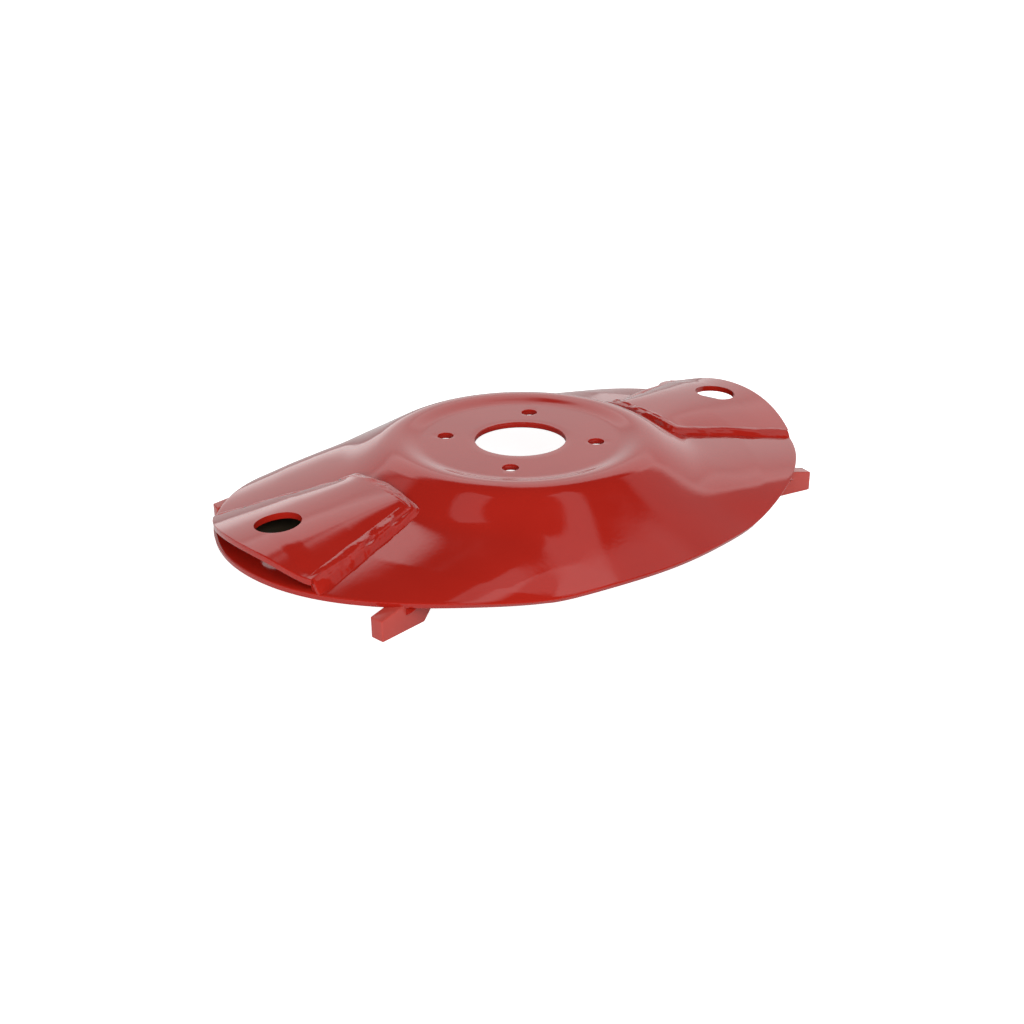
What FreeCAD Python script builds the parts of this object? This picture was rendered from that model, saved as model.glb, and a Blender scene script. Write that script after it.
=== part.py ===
import FreeCAD, Part
import math
import os
from FreeCAD import Placement, Rotation, Vector

# Mower disc: a pressed oval steel disc with a hub seat, two welded blade covers and four feed lugs.
# Millimetres. The origin is on the bore axis at the seat's upper face, +Z up, +X along the long axis.

doc = FreeCAD.newDocument("mower_disc")
sheet = doc.addObject("Spreadsheet::Sheet", "sizes")

# Driving dimensions: alias and value.
dimensions = [
    ("sheet_thickness", 4.0),
    # Hub seat, its bore and bolt circle.
    ("bore_dia", 60.0),
    ("bolt_circle_dia", 100.0),
    ("bolt_hole_dia", 10.5),
    ("bolt_count", 4),
    ("bolt_first_angle", 45.0),
    ("seat_dia", 129.0),
    # Raised ring round the seat and the cone below it.
    ("ring_width", 15.5),
    ("ring_rise", 2.8),
    ("ring_roll", 15.0),
    ("cone_angle", 30.1),
    # Arched shoulders along the long axis.
    ("shoulder_level", 2.8),
    ("shoulder_tilt", 7.8),
    ("shoulder_crown", 7.9),
    ("shoulder_fall", 1.5),
    ("shoulder_start", 100.0),
    ("shoulder_sink", 12.0),
    ("shoulder_width", 200.0),
    ("crease_blend", 6.0),
    ("crease_spread", 1.0),
    # Oval outline: half lengths and how full the oval is.
    ("long_half", 211.0),
    ("short_half", 150.8),
    ("oval_fullness", 4.3),
    ("oval_nip", 0.6),
    # Blade bolt holes in the disc and the access holes above them.
    ("blade_bolt_inset", 30.0),
    ("blade_hole_dia", 13.0),
    ("access_hole_dia", 28.5),
    # Blade covers.
    ("cover_hub_gap", 15.0),
    ("cover_inner_half", 31.0),
    ("cover_outer_half", 60.0),
    ("cover_mouth_height", 11.8),
    ("cover_inner_lift", 0.8),
    ("cover_crown_half", 22.0),
    ("cover_crown_shift", 6.0),
    ("cover_flare", 7.0),
    ("cover_flare_lift", 4.5),
    # Weld beads.
    ("weld_leg", 7.0),
    ("weld_gap", 0.1),
    # Feed lugs under the rim.
    ("lug_width", 9.5),
    ("lug_drop", 13.0),
    ("lug_foot", 32.0),
    ("lug_length", 51.0),
    ("lug_slope", 12.0),
    ("lug_below_rim", 5.6),
    ("lug_fan_angle", 10.0),
    ("left_lug_angle", 28.9),
    ("left_lug_overhang", 9.4),
    ("right_lug_angle", 31.4),
    ("right_lug_overhang", 7.5),
    ("lug_weld_leg", 4.0),
    ("lug_weld_start", 18.0),
]

for row, (alias, value) in enumerate(dimensions, start=1):
    sheet.set("A%d" % row, alias)
    sheet.set("B%d" % row, str(value))
    sheet.setAlias("B%d" % row, alias)
doc.recompute()


def size(alias):
    return float(getattr(sheet, alias))


def tangent(alias):
    return math.tan(math.radians(size(alias)))


# Heights of the disc's upper face

def crest_radius():
    return size("seat_dia") / 2 + size("ring_width")


def cone_start():
    return crest_radius() + size("ring_roll")


def hub_height(radius):
    """Flat seat, an S-shaped rise to the ring's crest, a rolled top, then a straight cone."""
    seat = size("seat_dia") / 2
    crest = crest_radius()
    roll = size("ring_roll")
    fall = tangent("cone_angle")
    if radius <= seat:
        return 0.0
    if radius <= crest:
        part = (radius - seat) / (crest - seat)
        return size("ring_rise") * part * part * (3 - 2 * part)
    if radius <= crest + roll:
        return size("ring_rise") - fall * (radius - crest) ** 2 / (2 * roll)
    return size("ring_rise") - fall * (radius - crest - roll / 2)


def shoulder_height(x, y):
    """A straight line falling outwards along X, carried across Y as an arch, and sunk near the hub."""
    reach = abs(x)
    across = y / (size("shoulder_width") / 2)
    arch = size("shoulder_crown") * across ** 2 + size("shoulder_fall") * across ** 8
    inside = max(0.0, 1 - reach / size("shoulder_start"))
    return size("shoulder_level") - tangent("shoulder_tilt") * reach - size("shoulder_sink") * inside ** 2 - arch


def disc_height(x, y):
    """The higher of cone and shoulder, with a soft crease that widens towards the rim."""
    radius = math.hypot(x, y)
    hub = hub_height(radius)
    if radius <= cone_start():
        return hub
    shoulder = shoulder_height(x, y)
    outward = min(1.15, (radius - cone_start()) / (size("short_half") - cone_start()))
    blend = size("crease_blend") * (1 + size("crease_spread") * outward ** 3)
    near = max(0.0, 1 - abs(hub - shoulder) / blend)
    return max(hub, shoulder) + near * near * blend / 4


def disc_normal(x, y):
    """Upward normal from central differences; straight up on the seat and its edge."""
    step = 0.25
    if math.hypot(x, y) < size("seat_dia") / 2 + step:
        return Vector(0, 0, 1)
    slope_x = (disc_height(x + step, y) - disc_height(x - step, y)) / (2 * step)
    slope_y = (disc_height(x, y + step) - disc_height(x, y - step)) / (2 * step)
    return Vector(-slope_x, -slope_y, 1).normalize()


def rim_radius(angle):
    """The oval outline as a mean radius with even harmonics of the angle."""
    fullness = size("oval_fullness")
    nip = size("oval_nip")
    mean = (size("long_half") + size("short_half")) / 2 - fullness
    swing = (size("long_half") - size("short_half")) / 2 + nip
    return mean + swing * math.cos(2 * angle) + fullness * math.cos(4 * angle) - nip * math.cos(6 * angle)


def rim_reach(y):
    """Distance from the Y axis to the outline at a given Y, by halving the interval."""
    low, high = 0.0, size("long_half") * 1.2
    for _ in range(40):
        middle = (low + high) / 2
        if math.hypot(middle, y) < rim_radius(math.atan2(y, middle)):
            low = middle
        else:
            high = middle
    return low


def polygon(points):
    return Part.Wire(Part.makePolygon(points + points[:1]))


def solid_loft(sections):
    """Solid with straight rulings through the sections, turned right side out."""
    solid = Part.makeLoft(sections, True, True)
    if solid.Volume < 0:
        solid.reverse()
    return solid


def faceted_solid(sections):
    """Flat three-cornered faces between matching corners of flat sections, closed at both ends."""
    faces = [Part.Face(polygon(sections[0])), Part.Face(polygon(sections[-1]))]
    for here, there in zip(sections, sections[1:]):
        for k in range(len(here)):
            after = (k + 1) % len(here)
            faces.append(Part.Face(polygon([here[k], there[k], there[after]])))
            faces.append(Part.Face(polygon([here[k], there[after], here[after]])))
    solid = Part.makeSolid(Part.makeShell(faces))
    if solid.Volume < 0:
        solid.reverse()
    return solid


def check(shape, name):
    if shape.isNull() or not shape.isValid():
        raise RuntimeError("bad shape in " + name)
    return shape


def add_feature(name, shape, placement=Placement()):
    """A shape worked out here, as an object of the document."""
    feature = doc.addObject("Part::Feature", name)
    feature.Shape = check(shape, name)
    feature.Placement = placement
    return feature


def add_drill(name, diameter, depth_from, depth_to):
    """An upright cylinder on the origin that cuts a hole; the diameter stays bound to its cell."""
    drill = doc.addObject("Part::Cylinder", name)
    drill.setExpression("Radius", "sizes.%s / 2" % diameter)
    drill.Height = depth_to - depth_from
    drill.Placement.Base.z = depth_from
    return drill


def add_cut(name, base, tool):
    cut = doc.addObject("Part::Cut", name)
    cut.Base = base
    cut.Tool = tool
    return cut


# Disc plate: two skins a sheet apart, turned over the ring and lofted over the cone, closed at rim and seat

angles = 72
ring_stations = 14
cone_stations = 15
drill_low, drill_high = -60.0, 30.0


def skin_point(angle, radius, offset):
    """Point of the upper face on a ray, moved down along the surface's normal by the offset."""
    x = radius * math.cos(angle)
    y = radius * math.sin(angle)
    return Vector(x, y, disc_height(x, y)) - disc_normal(x, y) * offset


def ring_skin(offset):
    """Section of the raised ring from the seat's edge to the cone's start, turned once round."""
    seat = size("seat_dia") / 2
    width = cone_start() - seat
    points = [skin_point(0, seat + width * k / ring_stations, offset) for k in range(ring_stations + 1)]
    section = Part.BSplineCurve()
    section.interpolate(Points=points, InitialTangent=Vector(1, 0, 0),
                        FinalTangent=Vector(1, 0, -tangent("cone_angle")))
    return section.toShape().revolve(Vector(0, 0, 0), Vector(0, 0, 1), 360)


def level_circle(point):
    """Circle about the upright axis through a point of the XZ plane."""
    return Part.Wire(Part.makeCircle(point.x, Vector(0, 0, point.z)))


def cone_rings(offset):
    """The circle at the cone's start, then closed smooth curves in even steps out to the rim."""
    rays = []
    for k in range(angles):
        angle = 2 * math.pi * k / angles
        start = cone_start()
        step = (rim_radius(angle) - start) / cone_stations
        rays.append([skin_point(angle, start + step * n, offset) for n in range(1, cone_stations + 1)])
    steps = [k / angles for k in range(angles + 1)]
    rings = [level_circle(skin_point(0, cone_start(), offset))]
    for station in zip(*rays):
        curve = Part.BSplineCurve()
        curve.interpolate(Points=list(station), PeriodicFlag=True, Parameters=steps)
        rings.append(Part.Wire(curve.toShape()))
    return rings


def seat_face(level):
    return Part.Face(level_circle(Vector(size("seat_dia") / 2, 0, level)))


def make_disc_blank():
    thickness = size("sheet_thickness")
    top = cone_rings(0.0)
    bottom = cone_rings(thickness)
    faces = [seat_face(0), seat_face(-thickness), ring_skin(0.0), ring_skin(thickness)]
    faces += Part.makeLoft(top, False, False).Faces
    faces += Part.makeLoft(bottom, False, False).Faces
    faces += Part.makeLoft([top[-1], bottom[-1]], False, True).Faces
    shell = Part.makeShell(faces)
    shell.sewShape(0.001)
    solid = Part.makeSolid(shell)
    if solid.Volume < 0:
        solid.reverse()
    return solid


disc_blank = add_feature("disc_blank", make_disc_blank())

bore = add_drill("bore", "bore_dia", drill_low, drill_high)
drills = [bore]
for k in range(int(size("bolt_count"))):
    drill = add_drill("bolt_hole_%d" % (k + 1), "bolt_hole_dia", drill_low, drill_high)
    turn = "sizes.bolt_first_angle + %d * 360 / sizes.bolt_count" % k
    drill.setExpression("Placement.Base.x", "sizes.bolt_circle_dia / 2 * cos(%s)" % turn)
    drill.setExpression("Placement.Base.y", "sizes.bolt_circle_dia / 2 * sin(%s)" % turn)
    drills.append(drill)
for side, sign in (("right", 1), ("left", -1)):
    drill = add_drill("blade_hole_" + side, "blade_hole_dia", drill_low, drill_high)
    drill.setExpression("Placement.Base.x", "%d * (sizes.long_half - sizes.blade_bolt_inset)" % sign)
    drills.append(drill)

disc_holes = doc.addObject("Part::MultiFuse", "disc_holes")
disc_holes.Shapes = drills
disc_plate = add_cut("disc_plate", disc_blank, disc_holes)
doc.recompute()


# Blade covers: an arched plate that opens outwards, trimmed to the disc's outline

cover_sections = 7


def cover_start():
    return cone_start() + size("cover_hub_gap")


def cover_part(x):
    """0 at the cover's inner end and 1 where its side edge meets the outline."""
    return (x - cover_start()) / (rim_reach(size("cover_outer_half")) - cover_start())


def cover_half(x):
    """Half width at x: straight side edges that spread outwards."""
    inner = size("cover_inner_half")
    return inner + (size("cover_outer_half") - inner) * cover_part(x)


def cover_under(x):
    """Corner points of the under face across Y: low edge, crown, flare and high edge."""
    part = cover_part(x)
    half = cover_half(x)
    gap = size("weld_gap")
    crown_start = disc_height(cover_start(), 0) + size("cover_inner_lift")
    crown_end = disc_height(rim_reach(size("cover_outer_half")), 0) + size("cover_mouth_height")
    crown = crown_start + (crown_end - crown_start) * part
    crown_half = size("cover_crown_half")
    shift = size("cover_crown_shift") * part
    flare = half - size("cover_flare")
    lift = gap + size("cover_flare_lift") * part
    return [(-half, disc_height(x, -half) + gap), (shift - crown_half, crown), (shift + crown_half, crown),
            (flare, disc_height(x, flare) + lift), (half, disc_height(x, half) + lift)]


def offset_path(points, distance):
    """The same path moved to its upper side, with mitred corners."""
    moved = []
    last = len(points) - 1
    for k, (y, z) in enumerate(points):
        back = points[max(k - 1, 0)]
        ahead = points[min(k + 1, last)]
        before = math.atan2(z - back[1], y - back[0]) if k > 0 else None
        after = math.atan2(ahead[1] - z, ahead[0] - y) if k < last else None
        first = before if before is not None else after
        second = after if after is not None else before
        middle = (first + second) / 2
        reach = distance / math.cos((second - first) / 2)
        moved.append((y - math.sin(middle) * reach, z + math.cos(middle) * reach))
    return moved


def rounded_edges(x, points):
    """Straight edges through the points at x, with a smooth bend at each inner corner."""
    corners = [Vector(x, y, z) for y, z in points]
    share = 0.3
    edges = []
    start = corners[0]
    for k in range(1, len(corners) - 1):
        corner = corners[k]
        reach = share * min((corner - corners[k - 1]).Length, (corners[k + 1] - corner).Length)
        enter = corner + (corners[k - 1] - corner).normalize() * reach
        leave = corner + (corners[k + 1] - corner).normalize() * reach
        bend = Part.BezierCurve()
        bend.setPoles([enter, corner, leave])
        edges.append(Part.makeLine(start, enter))
        edges.append(bend.toShape())
        start = leave
    edges.append(Part.makeLine(start, corners[-1]))
    return edges


def cover_section(x):
    under = cover_under(x)
    upper = offset_path(under, size("sheet_thickness"))
    sides = [Part.makeLine(Vector(x, *under[-1]), Vector(x, *upper[-1])),
             Part.makeLine(Vector(x, *upper[0]), Vector(x, *under[0]))]
    edges = rounded_edges(x, under) + sides[:1] + rounded_edges(x, upper[::-1]) + sides[1:]
    return Part.Wire(edges)


def cover_stations():
    start = cover_start()
    end = size("long_half") + size("sheet_thickness")
    return [start + (end - start) * k / (cover_sections - 1) for k in range(cover_sections)]


def outline_prism():
    """Upright block just inside the disc's outline, for trimming what ends at the rim."""
    points = []
    for k in range(angles):
        angle = 2 * math.pi * k / angles
        radius = rim_radius(angle) - size("weld_gap")
        points.append(Vector(math.cos(angle), math.sin(angle), 0) * radius)
    curve = Part.BSplineCurve()
    curve.interpolate(Points=points, PeriodicFlag=True)
    face = Part.Face(Part.Wire(curve.toShape()))
    face.translate(Vector(0, 0, drill_low))
    return face.extrude(Vector(0, 0, drill_high - drill_low))


def make_cover_blank():
    sections = [cover_section(x) for x in cover_stations()]
    return solid_loft(sections).common(outline_prism())


# Weld bead round three sides of each cover

def bead_section(low, high, outward):
    """Foot and head against the plate's edge, a swollen face, and the toe out on the disc."""
    leg = size("weld_leg")
    reach = Vector(outward[0], outward[1], 0)
    toe = low + reach * leg
    toe.z = disc_height(toe.x, toe.y) + size("weld_gap")
    swell = (high + toe) * 0.5 + (reach + Vector(0, 0, 1.4)) * (leg * 0.12)
    return polygon([low, high, swell, toe])


def height_on_path(points, y):
    """Height of a path of straight steps at y."""
    for (y_from, z_from), (y_to, z_to) in zip(points, points[1:]):
        if y <= y_to:
            break
    return z_from + (z_to - z_from) * (y - y_from) / (y_to - y_from)


def make_cover_weld():
    """Sections along the raised edge, round the inner end, and back along the flush edge."""
    gap = size("weld_gap")
    start = cover_start()
    inner = size("cover_inner_half")
    turn = math.sqrt(0.5)
    stops = [(x, cover_half(x), 0, 1) for x in cover_stations()[:0:-1]]
    stops += [(start, inner, -turn, turn)]
    stops += [(start, inner * k / 6, -1, 0) for k in range(5, -6, -1)]
    stops += [(start, -inner, -turn, -turn)]
    stops += [(x, -cover_half(x), 0, -1) for x in cover_stations()[1:]]
    sections = []
    for x, y, out_x, out_y in stops:
        upper = offset_path(cover_under(x), size("sheet_thickness"))
        clear = Vector(out_x, out_y, 0) * gap
        low = Vector(x, y, disc_height(x, y) + gap) + clear
        high = Vector(x, min(max(y, upper[0][0]), upper[-1][0]), height_on_path(upper, y)) + clear
        if abs(out_y) > 0:
            end = upper[-1] if y > 0 else upper[0]
            high = Vector(x, end[0], end[1]) + clear
        sections.append(bead_section(low, high, (out_x, out_y)))
    return solid_loft(sections).common(outline_prism())


def half_turn(feature_name, source):
    """The same piece turned half round the bore, for the other end of the disc."""
    turned = add_feature(feature_name, source.Shape)
    turned.Placement = Placement(Vector(0, 0, 0), Rotation(Vector(0, 0, 1), 180))
    return turned


access_hole = add_drill("access_hole", "access_hole_dia", drill_low, drill_high)
access_hole.setExpression("Placement.Base.x", "sizes.long_half - sizes.blade_bolt_inset")
cover_right = add_cut("blade_cover_right", add_feature("cover_blank", make_cover_blank()), access_hole)
weld_right = add_feature("cover_weld_right", make_cover_weld())
doc.recompute()
pieces = [disc_plate, cover_right, weld_right]
pieces += [half_turn("blade_cover_left", cover_right), half_turn("cover_weld_left", weld_right)]


# Feed lugs: flat bars on edge under the rim, fanned outwards, with a weld bead round the inner part

def disc_under(x, y):
    """Height of the disc's under face, taking the sheet as locally flat."""
    return disc_height(x, y) - size("sheet_thickness") / disc_normal(x, y).z


def lug_place(corner, along, across, z=0.0):
    """World point from the distance inwards from the outer end and the distance off the centre line."""
    end_name, side_x, side_y = corner
    turn = math.radians(size(end_name + "_lug_angle"))
    reach = rim_radius(turn) + size(end_name + "_lug_overhang")
    fan = math.radians(size("lug_fan_angle"))
    end = Vector(side_x * math.cos(turn), side_y * math.sin(turn), 0) * reach
    out = Vector(side_x * math.cos(fan), side_y * math.sin(fan), 0)
    left = Vector(-out.y, out.x, 0)
    return end - out * along + left * across + Vector(0, 0, z)


def lug_top(along):
    """Height of the lugs' top line; all four stand level, below the rim's mean height at the lugs."""
    turn = math.radians((size("left_lug_angle") + size("right_lug_angle")) / 2)
    radius = rim_radius(turn)
    rim = disc_height(radius * math.cos(turn), radius * math.sin(turn))
    return rim - size("lug_below_rim") + tangent("lug_slope") * along


def lug_rim(corner, across):
    """Distance inwards at which a line along the lug passes under the rim, less a small clearance."""
    low, high = 0.0, size("lug_foot")
    for _ in range(30):
        middle = (low + high) / 2
        point = lug_place(corner, middle, across)
        inside = math.hypot(point.x, point.y) < rim_radius(math.atan2(point.y, point.x))
        low, high = (low, middle) if inside else (middle, high)
    return low - 3 * size("weld_gap")


def lug_end(corner, across):
    """Distance inwards at which one side of the lug's chamfer reaches the disc's under face."""
    foot = size("lug_foot")
    length = size("lug_length")
    low = lug_top(0) - size("lug_drop")
    high = lug_top(length)
    end = length
    for _ in range(12):
        point = lug_place(corner, end, across)
        end = foot + (length - foot) * (disc_under(point.x, point.y) - size("weld_gap") - low) / (high - low)
    return end


def lug_side(corner, across):
    """Outline of one side: upright outer end, sloped top, a step down at the rim, and the foot."""
    foot = lug_top(0) - size("lug_drop")
    rim = lug_rim(corner, across)
    end = lug_end(corner, across)
    outline = [(0, foot), (0, lug_top(0)), (rim, lug_top(rim))]
    for k in range(6):
        along = rim + (end - rim) * k / 5
        point = lug_place(corner, along, across)
        outline.append((along, disc_under(point.x, point.y) - size("weld_gap")))
    outline.append((size("lug_foot"), foot))
    return polygon([lug_place(corner, along, across, z) for along, z in outline])


def make_lug(corner):
    half = size("lug_width") / 2
    return solid_loft([lug_side(corner, -half), lug_side(corner, half)])


def make_lug_weld(corner):
    """Three-cornered sections up one side of the lug, round its inner end and down the other side."""
    leg = size("lug_weld_leg")
    gap = size("weld_gap")
    half = size("lug_width") / 2 + gap
    start = size("lug_weld_start")
    turn = math.sqrt(0.5)
    ends = [lug_end(corner, side * half) + gap for side in (1, -1)]
    stops = [(start + (ends[0] - start) * k / 4, half, 0, 1) for k in range(4)]
    stops += [(ends[0], half, turn, turn), (ends[1], -half, turn, -turn)]
    stops += [(start + (ends[1] - start) * k / 4, -half, 0, -1) for k in range(3, -1, -1)]
    sections = []
    for along, across, out_along, out_across in stops:
        wall = lug_place(corner, along, across)
        toe = lug_place(corner, along + out_along * leg, across + out_across * leg)
        wall.z = disc_under(wall.x, wall.y) - gap
        toe.z = disc_under(toe.x, toe.y) - gap
        sections.append([wall - Vector(0, 0, leg), wall, toe])
    return faceted_solid(sections)


lug_corners = {
    "front_left": ("left", -1, -1),
    "front_right": ("right", 1, -1),
    "back_left": ("left", -1, 1),
    "back_right": ("right", 1, 1),
}
for name, corner in lug_corners.items():
    pieces.append(add_feature("feed_lug_" + name, make_lug(corner)))
    pieces.append(add_feature("lug_weld_" + name, make_lug_weld(corner)))
doc.recompute()

# Check every object, then write each piece
for item in doc.Objects:
    if "Invalid" in item.State or "Error" in item.State:
        raise RuntimeError("object in error: " + item.Name)
os.makedirs("parts", exist_ok=True)
for piece in pieces:
    check(piece.Shape, piece.Label)
    if len(piece.Shape.Solids) != 1 or piece.Shape.Volume < 1:
        raise RuntimeError("not one solid: " + piece.Label)
    piece.Shape.exportStep("parts/%s.step" % piece.Label)
    print(piece.Label, round(piece.Shape.Volume))
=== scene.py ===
import bpy
import math
import numpy as np
from mathutils import Matrix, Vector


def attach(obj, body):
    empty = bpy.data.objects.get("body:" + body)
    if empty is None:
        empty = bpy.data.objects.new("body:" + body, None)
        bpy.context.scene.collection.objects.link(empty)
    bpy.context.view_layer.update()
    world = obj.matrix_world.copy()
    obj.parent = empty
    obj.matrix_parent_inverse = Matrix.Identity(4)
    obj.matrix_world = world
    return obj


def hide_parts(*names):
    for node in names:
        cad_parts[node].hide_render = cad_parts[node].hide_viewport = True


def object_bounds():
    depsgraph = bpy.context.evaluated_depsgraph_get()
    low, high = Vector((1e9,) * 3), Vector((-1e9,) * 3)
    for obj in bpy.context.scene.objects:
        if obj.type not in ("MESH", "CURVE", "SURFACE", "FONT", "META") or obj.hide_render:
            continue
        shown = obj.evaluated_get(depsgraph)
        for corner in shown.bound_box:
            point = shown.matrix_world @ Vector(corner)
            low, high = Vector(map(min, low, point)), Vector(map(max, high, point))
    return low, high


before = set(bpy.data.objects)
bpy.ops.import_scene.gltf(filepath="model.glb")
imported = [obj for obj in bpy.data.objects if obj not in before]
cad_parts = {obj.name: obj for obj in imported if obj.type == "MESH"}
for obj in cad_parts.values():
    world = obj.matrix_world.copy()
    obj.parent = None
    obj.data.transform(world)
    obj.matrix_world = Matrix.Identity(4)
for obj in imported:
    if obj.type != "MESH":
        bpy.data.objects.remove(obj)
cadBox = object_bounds()

# Mower disc: glossy red enamel on a pressed steel disc with welded blade covers and feed lugs.
# Lengths in the settings are millimetres, in the frame's own axes; meshes are written in metres.

mm = 0.001
fullTurn = 2 * math.pi


# Mesh helpers

# A mesh object at the origin from points in millimetres and lists of face corner indices.
def addMesh(name, points, faces, material, smoothAngle=35.0):
    mesh = bpy.data.meshes.new(name)
    mesh.from_pydata((np.asarray(points) * mm).tolist(), [], [list(map(int, f)) for f in faces])
    mesh.validate()
    piece = bpy.data.objects.new(name, mesh)
    bpy.context.scene.collection.objects.link(piece)
    mesh.materials.append(material)
    mesh.shade_smooth()
    mesh.set_sharp_from_angle(angle=math.radians(smoothAngle))
    return piece


# Quads between neighbouring rows and columns of a grid; wrapping joins the last to the first.
def gridFaces(rows, columns, wrapRows=False, wrapColumns=False):
    r = np.arange(rows if wrapRows else rows - 1)
    c = np.arange(columns if wrapColumns else columns - 1)
    rr, cc = np.meshgrid(r, c, indexing="ij")
    nextR = (rr + 1) % rows
    nextC = (cc + 1) % columns
    quads = np.stack([rr * columns + cc, rr * columns + nextC,
                      nextR * columns + nextC, nextR * columns + cc], -1)
    return quads.reshape(-1, 4)


# Turns every face of a closed mesh to point outwards.
def outwards(piece):
    bpy.context.view_layer.objects.active = piece
    for other in bpy.context.selected_objects:
        other.select_set(False)
    piece.select_set(True)
    bpy.ops.object.mode_set(mode="EDIT")
    bpy.ops.mesh.select_all(action="SELECT")
    bpy.ops.mesh.normals_make_consistent(inside=False)
    bpy.ops.object.mode_set(mode="OBJECT")
    piece.select_set(False)


# Bakes the modifiers into the mesh and marks the sharp edges again.
def applyModifiers(piece, smoothAngle=35.0):
    graph = bpy.context.evaluated_depsgraph_get()
    baked = bpy.data.meshes.new_from_object(piece.evaluated_get(graph))
    piece.modifiers.clear()
    piece.data = baked
    baked.shade_smooth()
    baked.set_sharp_from_angle(angle=math.radians(smoothAngle))


# A bevel of the given width on every edge that turns by more than the angle.
def roundEdges(piece, width, angle=50.0, segments=3):
    bevel = piece.modifiers.new("roundEdges", "BEVEL")
    bevel.width = width * mm
    bevel.segments = segments
    bevel.limit_method = "ANGLE"
    bevel.angle_limit = math.radians(angle)
    bevel.harden_normals = False
    applyModifiers(piece)


# A closed cutting body: the profile of (radius, height) turned about an upright axis.
def revolvedTool(centre, profile, material, turns):
    radius = np.array([p[0] for p in profile])[:, None]
    height = np.array([p[1] for p in profile])[:, None]
    angle = np.linspace(0, fullTurn, turns, endpoint=False)[None, :]
    points = np.stack([centre[0] + radius * np.cos(angle), centre[1] + radius * np.sin(angle),
                       height + 0 * angle], -1).reshape(-1, 3)
    faces = gridFaces(len(profile), turns, wrapColumns=True).tolist()
    faces.append(list(range(turns))[::-1])
    faces.append(list(range((len(profile) - 1) * turns, len(profile) * turns)))
    tool = addMesh("cuttingTool", points, faces, material)
    outwards(tool)
    return tool


# Subtracts each tool from the piece, then removes the tools.
def cutWith(piece, tools):
    for tool in tools:
        cut = piece.modifiers.new("cut", "BOOLEAN")
        cut.operation = "DIFFERENCE"
        cut.solver = "EXACT"
        cut.object = tool
    applyModifiers(piece)
    for tool in tools:
        bpy.data.objects.remove(tool, do_unlink=True)


# From 0 to 1 with level ends: the part squared, times three less twice the part.
def eased(part):
    return part * part * (3 - 2 * part)


# Smooth random height from -1 to 1: random corners of unit cells of u and v, eased in between.
def softNoise(u, v, seed):
    cells = 64
    lattice = np.random.default_rng(seed).uniform(-1, 1, (cells, cells))
    iu, iv = np.floor(u).astype(int), np.floor(v).astype(int)
    fu, fv = eased(u - iu), eased(v - iv)

    def corner(a, b):
        return lattice[(iu + a) % cells, (iv + b) % cells]

    near = corner(0, 0) * (1 - fu) + corner(1, 0) * fu
    far = corner(0, 1) * (1 - fu) + corner(1, 1) * fu
    return near * (1 - fv) + far * fv


# The last value of each range from low to high that still lies inside, by halving the range.
def lastInside(low, high, isInside):
    halvings = 40
    for _ in range(halvings):
        middle = (low + high) / 2
        inside = isInside(middle)
        low, high = np.where(inside, middle, low), np.where(inside, high, middle)
    return low


# Shader helpers

# One shader node: its settings first, then each input as a plain value or a link from another node.
def addNode(tree, kind, inputs, **settings):
    node = tree.nodes.new(kind)
    for name, value in settings.items():
        setattr(node, name, value)
    for key, value in inputs.items():
        if isinstance(value, bpy.types.NodeSocket):
            tree.links.new(value, node.inputs[key])
        else:
            node.inputs[key].default_value = value
    return node


def calculated(tree, operation, *values):
    return addNode(tree, "ShaderNodeMath", dict(enumerate(values)), operation=operation).outputs["Value"]


# The value carried from one range to the other and held at its ends.
def mapped(tree, value, fromRange, toRange=(0.0, 1.0), curve="LINEAR"):
    inputs = {"Value": value, "From Min": fromRange[0], "From Max": fromRange[1],
              "To Min": toRange[0], "To Max": toRange[1]}
    return addNode(tree, "ShaderNodeMapRange", inputs, interpolation_type=curve).outputs["Result"]


# The share goes from the first value or colour to the second.
def mixed(tree, share, first, second, kind="RGBA"):
    inputs = {"Factor": share, "A": first, "B": second}
    return addNode(tree, "ShaderNodeMix", inputs, data_type=kind).outputs["Result"]


def cloudy(tree, place, scale, detail):
    inputs = {"Vector": place, "Scale": scale, "Detail": detail}
    return addNode(tree, "ShaderNodeTexNoise", inputs).outputs["Fac"]


# Distance of each point from the upright line through (x, y) in millimetres.
def distanceFrom(tree, place, x, y):
    flat = addNode(tree, "ShaderNodeVectorMath", {0: place, 1: (1, 1, 0)}, operation="MULTIPLY")
    inputs = {0: flat.outputs["Vector"], 1: (x * mm, y * mm, 0)}
    return addNode(tree, "ShaderNodeVectorMath", inputs, operation="DISTANCE").outputs["Value"]


# Red enamel

enamel = {
    "red": (0.40, 0.015, 0.008), "deepRed": (0.36, 0.012, 0.006),
    "redScale": 14.0, "redDetail": 4.0, "redRange": (0.25, 0.6),
    "roughness": 0.06, "patchRoughness": 0.12,
    "patchScale": 55.0, "patchDetail": 3.0, "patchRange": (0.45, 0.75),
    "peelScale": 330.0, "peelDetail": 1.5, "peelHeight": 0.00012, "peelStrength": 0.12, "weldPeel": 6,
    "waveScale": 38.0, "waveDetail": 1.0, "waveHeight": 0.0009, "waveStrength": 0.05, "weldWave": 4,
    "speckScale": 46.0, "speckReach": (0.022, 0.012), "speckRarity": 0.86, "speckRed": (0.05, 0.008, 0.006),
    "pitHeight": 0.0004, "pitStrength": 0.6,
    # Dark spots: a dark, dull colour; in the disc's pockets it is painted shade.
    "darkSpotColour": (0.035, 0.028, 0.018), "darkSpotRoughness": 0.5, "darkSpotFade": (4.5, 2.5), "darkSpotRagged": 0.006,
    "darkSpotTopFade": 0.4, "darkSpotFacing": -0.3,
    "pinholeRed": (0.03, 0.004, 0.003), "pinholeFade": (1.25, 0.75),
    "refraction": 1.5,
}
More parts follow.
